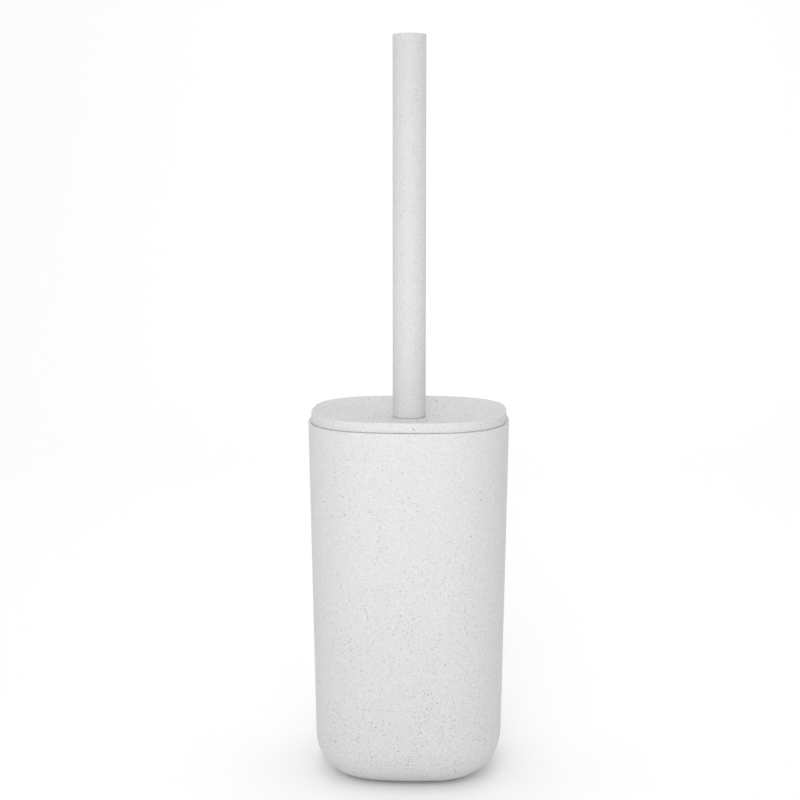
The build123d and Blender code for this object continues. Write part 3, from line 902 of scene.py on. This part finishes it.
small_parts = {
    "brush_core": ("brush_core_moulding", white_plastic),
    "handle_insert": ("handle_thread_plug", white_plastic),
    "lid_washer": ("soft_lid_washer", grey_rubber),
    "head_seal_ring": ("soft_head_seal", grey_rubber),
}
small_parts.update({f"foot_pad_{k}": (f"rubber_foot_{k}", grey_rubber) for k in range(1, 5)})
small = {node: welded_copy(node, name, finish) for node, (name, finish) in small_parts.items()}
wires = frame["nodes"]["tuft_anchors"]
wires.data.materials.clear()
wires.data.materials.append(drawn_wire)

# %% [markdown]
# ## Attaching everything to the frame
#
# Each piece rides on the body that carries it, and the CAD parts it stands for are hidden. The cup
# stays, the lid and handle lift with the brush, and the bristles and core turn with the head.

# %% Attach the pieces
def attach(piece, body, slot, *nodes):
    """Lets a piece ride on a body and hides the CAD nodes it stands for. The slot is not used."""
    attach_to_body(piece, body)
    if nodes:
        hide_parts(*nodes)


body_of = {node: body for body, nodes in frame["record"]["behaviour"]["bodies"].items() for node in nodes}
slot_of = {part["node"]: part["material_slot"] for part in frame["record"]["subparts"]}
attach(cup, "cup", "stone_plastic", "holder_cup")
attach(lid, "brush", "stone_plastic", "lid")
for piece in [hub, *ribs]:
    attach(piece, "brush", "stone_plastic")
attach(handle, "brush", "stone_plastic", "handle_tube")
attach(stem, "brush", "white_plastic", "stem")
attach(thread, "brush", "white_plastic")
for row, piece in enumerate(rings, start=1):
    attach(piece, "head", "bristle_nylon", f"bristle_ring_{row:02d}")
for node, piece in small.items():
    attach(piece, body_of[node], slot_of[node], node)

# %% [markdown]
# ## Floor and light
#
# The stage is a pale floor that curves up into a backdrop, so no horizon line shows. The light is a
# plain studio set. A bright, even surround does most of the work. One large soft box above the
# camera models the front and leaves the sides and the base a little darker. A small lamp with a
# narrow beam lifts the lid and the foot of the handle, a weak one overhead fills the dish, and one
# more whitens the backdrop.

# %% Floor, surround and lamps
def stage_floor():
    """A floor that sweeps up behind the object in one curve."""
    near, far, bend, top, half = -1.6, 1.7, 0.8, 3.2, 4.0
    side = [(near, 0.0), (far - bend, 0.0)]
    side += [(y, z) for y, z in arc((far - bend, bend), bend, -90, 0, 24)][1:]
    side.append((far, top))
    points = [(x, y, z) for x in (-half, half) for y, z in side]
    count = len(side)
    faces = [(k, k + count, k + count + 1, k + 1) for k in range(count - 1)]
    mesh = bpy.data.meshes.new("floor_sweep")
    mesh.from_pydata(points, [], faces)
    mesh.shade_smooth()
    paper = bpy.data.materials.new("pale_backdrop_paper")
    paper.use_nodes = True
    surface = paper.node_tree.nodes["Principled BSDF"]
    surface.inputs["Base Color"].default_value = linear("#FBFBFB")
    surface.inputs["Roughness"].default_value = 0.9
    surface.inputs["Specular IOR Level"].default_value = 0.1
    mesh.materials.append(paper)
    floor = bpy.data.objects.new("floor_sweep", mesh)
    bpy.context.scene.collection.objects.link(floor)


def soft_box(name, place, target, size, power, spread=180):
    """A square lamp that faces a point. A spread under 180 degrees keeps its light together."""
    lamp = bpy.data.lights.new(name, "AREA")
    lamp.size = size
    lamp.energy = power
    lamp.spread = math.radians(spread)
    holder = bpy.data.objects.new(name, lamp)
    holder.location = place
    holder.rotation_euler = (Vector(target) - Vector(place)).to_track_quat("-Z", "Y").to_euler()
    bpy.context.scene.collection.objects.link(holder)


def surround(strength):
    """An even white surround."""
    world = bpy.data.worlds.new("studio_surround")
    world.use_nodes = True
    sky = world.node_tree.nodes["Background"]
    sky.inputs["Color"].default_value = linear("#FFFFFF")
    sky.inputs["Strength"].default_value = strength
    bpy.context.scene.world = world


middle = (0.0, 0.0, cad_box[1].z / 2)
lid_top = (0.0, 0.0, LID_HIGH.z)
low_backdrop = (0.0, 1.6, 0.3)
stage_floor()
surround(0.79)
soft_box("key", place=(-0.08, -1.36, 0.88), target=middle, size=1.1, power=5.0)
soft_box("lid_light", place=(-0.05, -0.95, 0.30), target=lid_top, size=0.25, power=0.11, spread=36)
soft_box("top_light", place=(0.0, -0.15, 1.45), target=lid_top, size=0.5, power=0.8)
soft_box("backdrop_light", place=(0.0, 0.6, 1.9), target=low_backdrop, size=1.2, power=6.0)
bpy.context.scene.view_settings.view_transform = "Standard"
print("lamps", [lamp.name for lamp in bpy.data.lights])

# %% [markdown]
# ## Camera
#
# The camera stands in front of the object, a little to the right of its front side and above its
# lid, and looks slightly down. A long lens from 85 cm keeps the perspective gentle. The object
# stands a few millimetres to the right of the picture's middle, so the camera is moved sideways by
# as much.

# %% Camera
CAMERA_DISTANCE = 850 * MM
CAMERA_HEIGHT = 306.7 * MM
CAMERA_AZIMUTH = math.radians(3.03)
CAMERA_TILT = math.radians(7.97)
SIDE_STEP = -4.6 * MM
SENSOR_WIDTH = 36.0         # the lens is given in millimetres, like its sensor
FOCAL_LENGTH = 77.2

lens = bpy.data.cameras.new("view")
lens.sensor_width = SENSOR_WIDTH
lens.lens = FOCAL_LENGTH
camera = bpy.data.objects.new("view", lens)
bpy.context.scene.collection.objects.link(camera)
back = Vector((math.sin(CAMERA_AZIMUTH), -math.cos(CAMERA_AZIMUTH), 0.0))
right = Vector((math.cos(CAMERA_AZIMUTH), math.sin(CAMERA_AZIMUTH), 0.0))
camera.location = back * CAMERA_DISTANCE + right * SIDE_STEP + Vector((0.0, 0.0, CAMERA_HEIGHT))
camera.rotation_euler = (math.pi / 2 - CAMERA_TILT, 0.0, CAMERA_AZIMUTH)
bpy.context.scene.camera = camera
print("camera at", [round(v, 4) for v in camera.location])
